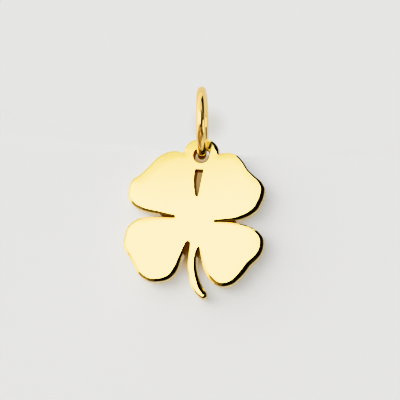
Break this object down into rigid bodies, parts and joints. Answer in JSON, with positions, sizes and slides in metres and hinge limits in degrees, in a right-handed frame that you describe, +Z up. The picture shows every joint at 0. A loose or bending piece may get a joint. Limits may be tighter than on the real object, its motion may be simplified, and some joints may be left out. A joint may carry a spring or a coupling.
{
  "type": "four leaf clover pendant",
  "caption": "Flat yellow gold charm cut as a leafy clover with a curved stem, hanging by its round ear on a closed jump ring that takes a chain.",
  "frame": {"origin": "the inside top of the jump ring, where a chain bears", "axes": "+Z up, -Y out of the clover's polished front face, +X to the right seen from the front"},
  "size_m": [0.01, 0.0052, 0.0151],
  "materials": {
    "yellow_gold": "mirror polished yellow gold",
    "ring_gold": "mirror polished yellow gold wire"
  },
  "bodies": {
    "ring": {"jump_ring": "ring_gold"},
    "clover": {"clover_charm": "yellow_gold"}
  },
  "joints": [
    {"name": "clover_swing", "type": "hinge", "parent": "ring", "child": "clover", "pos_m": [0.00046, 0, -0.00435], "axis": [0, 1, 0], "range_deg": [-95, 95]}
  ]
}
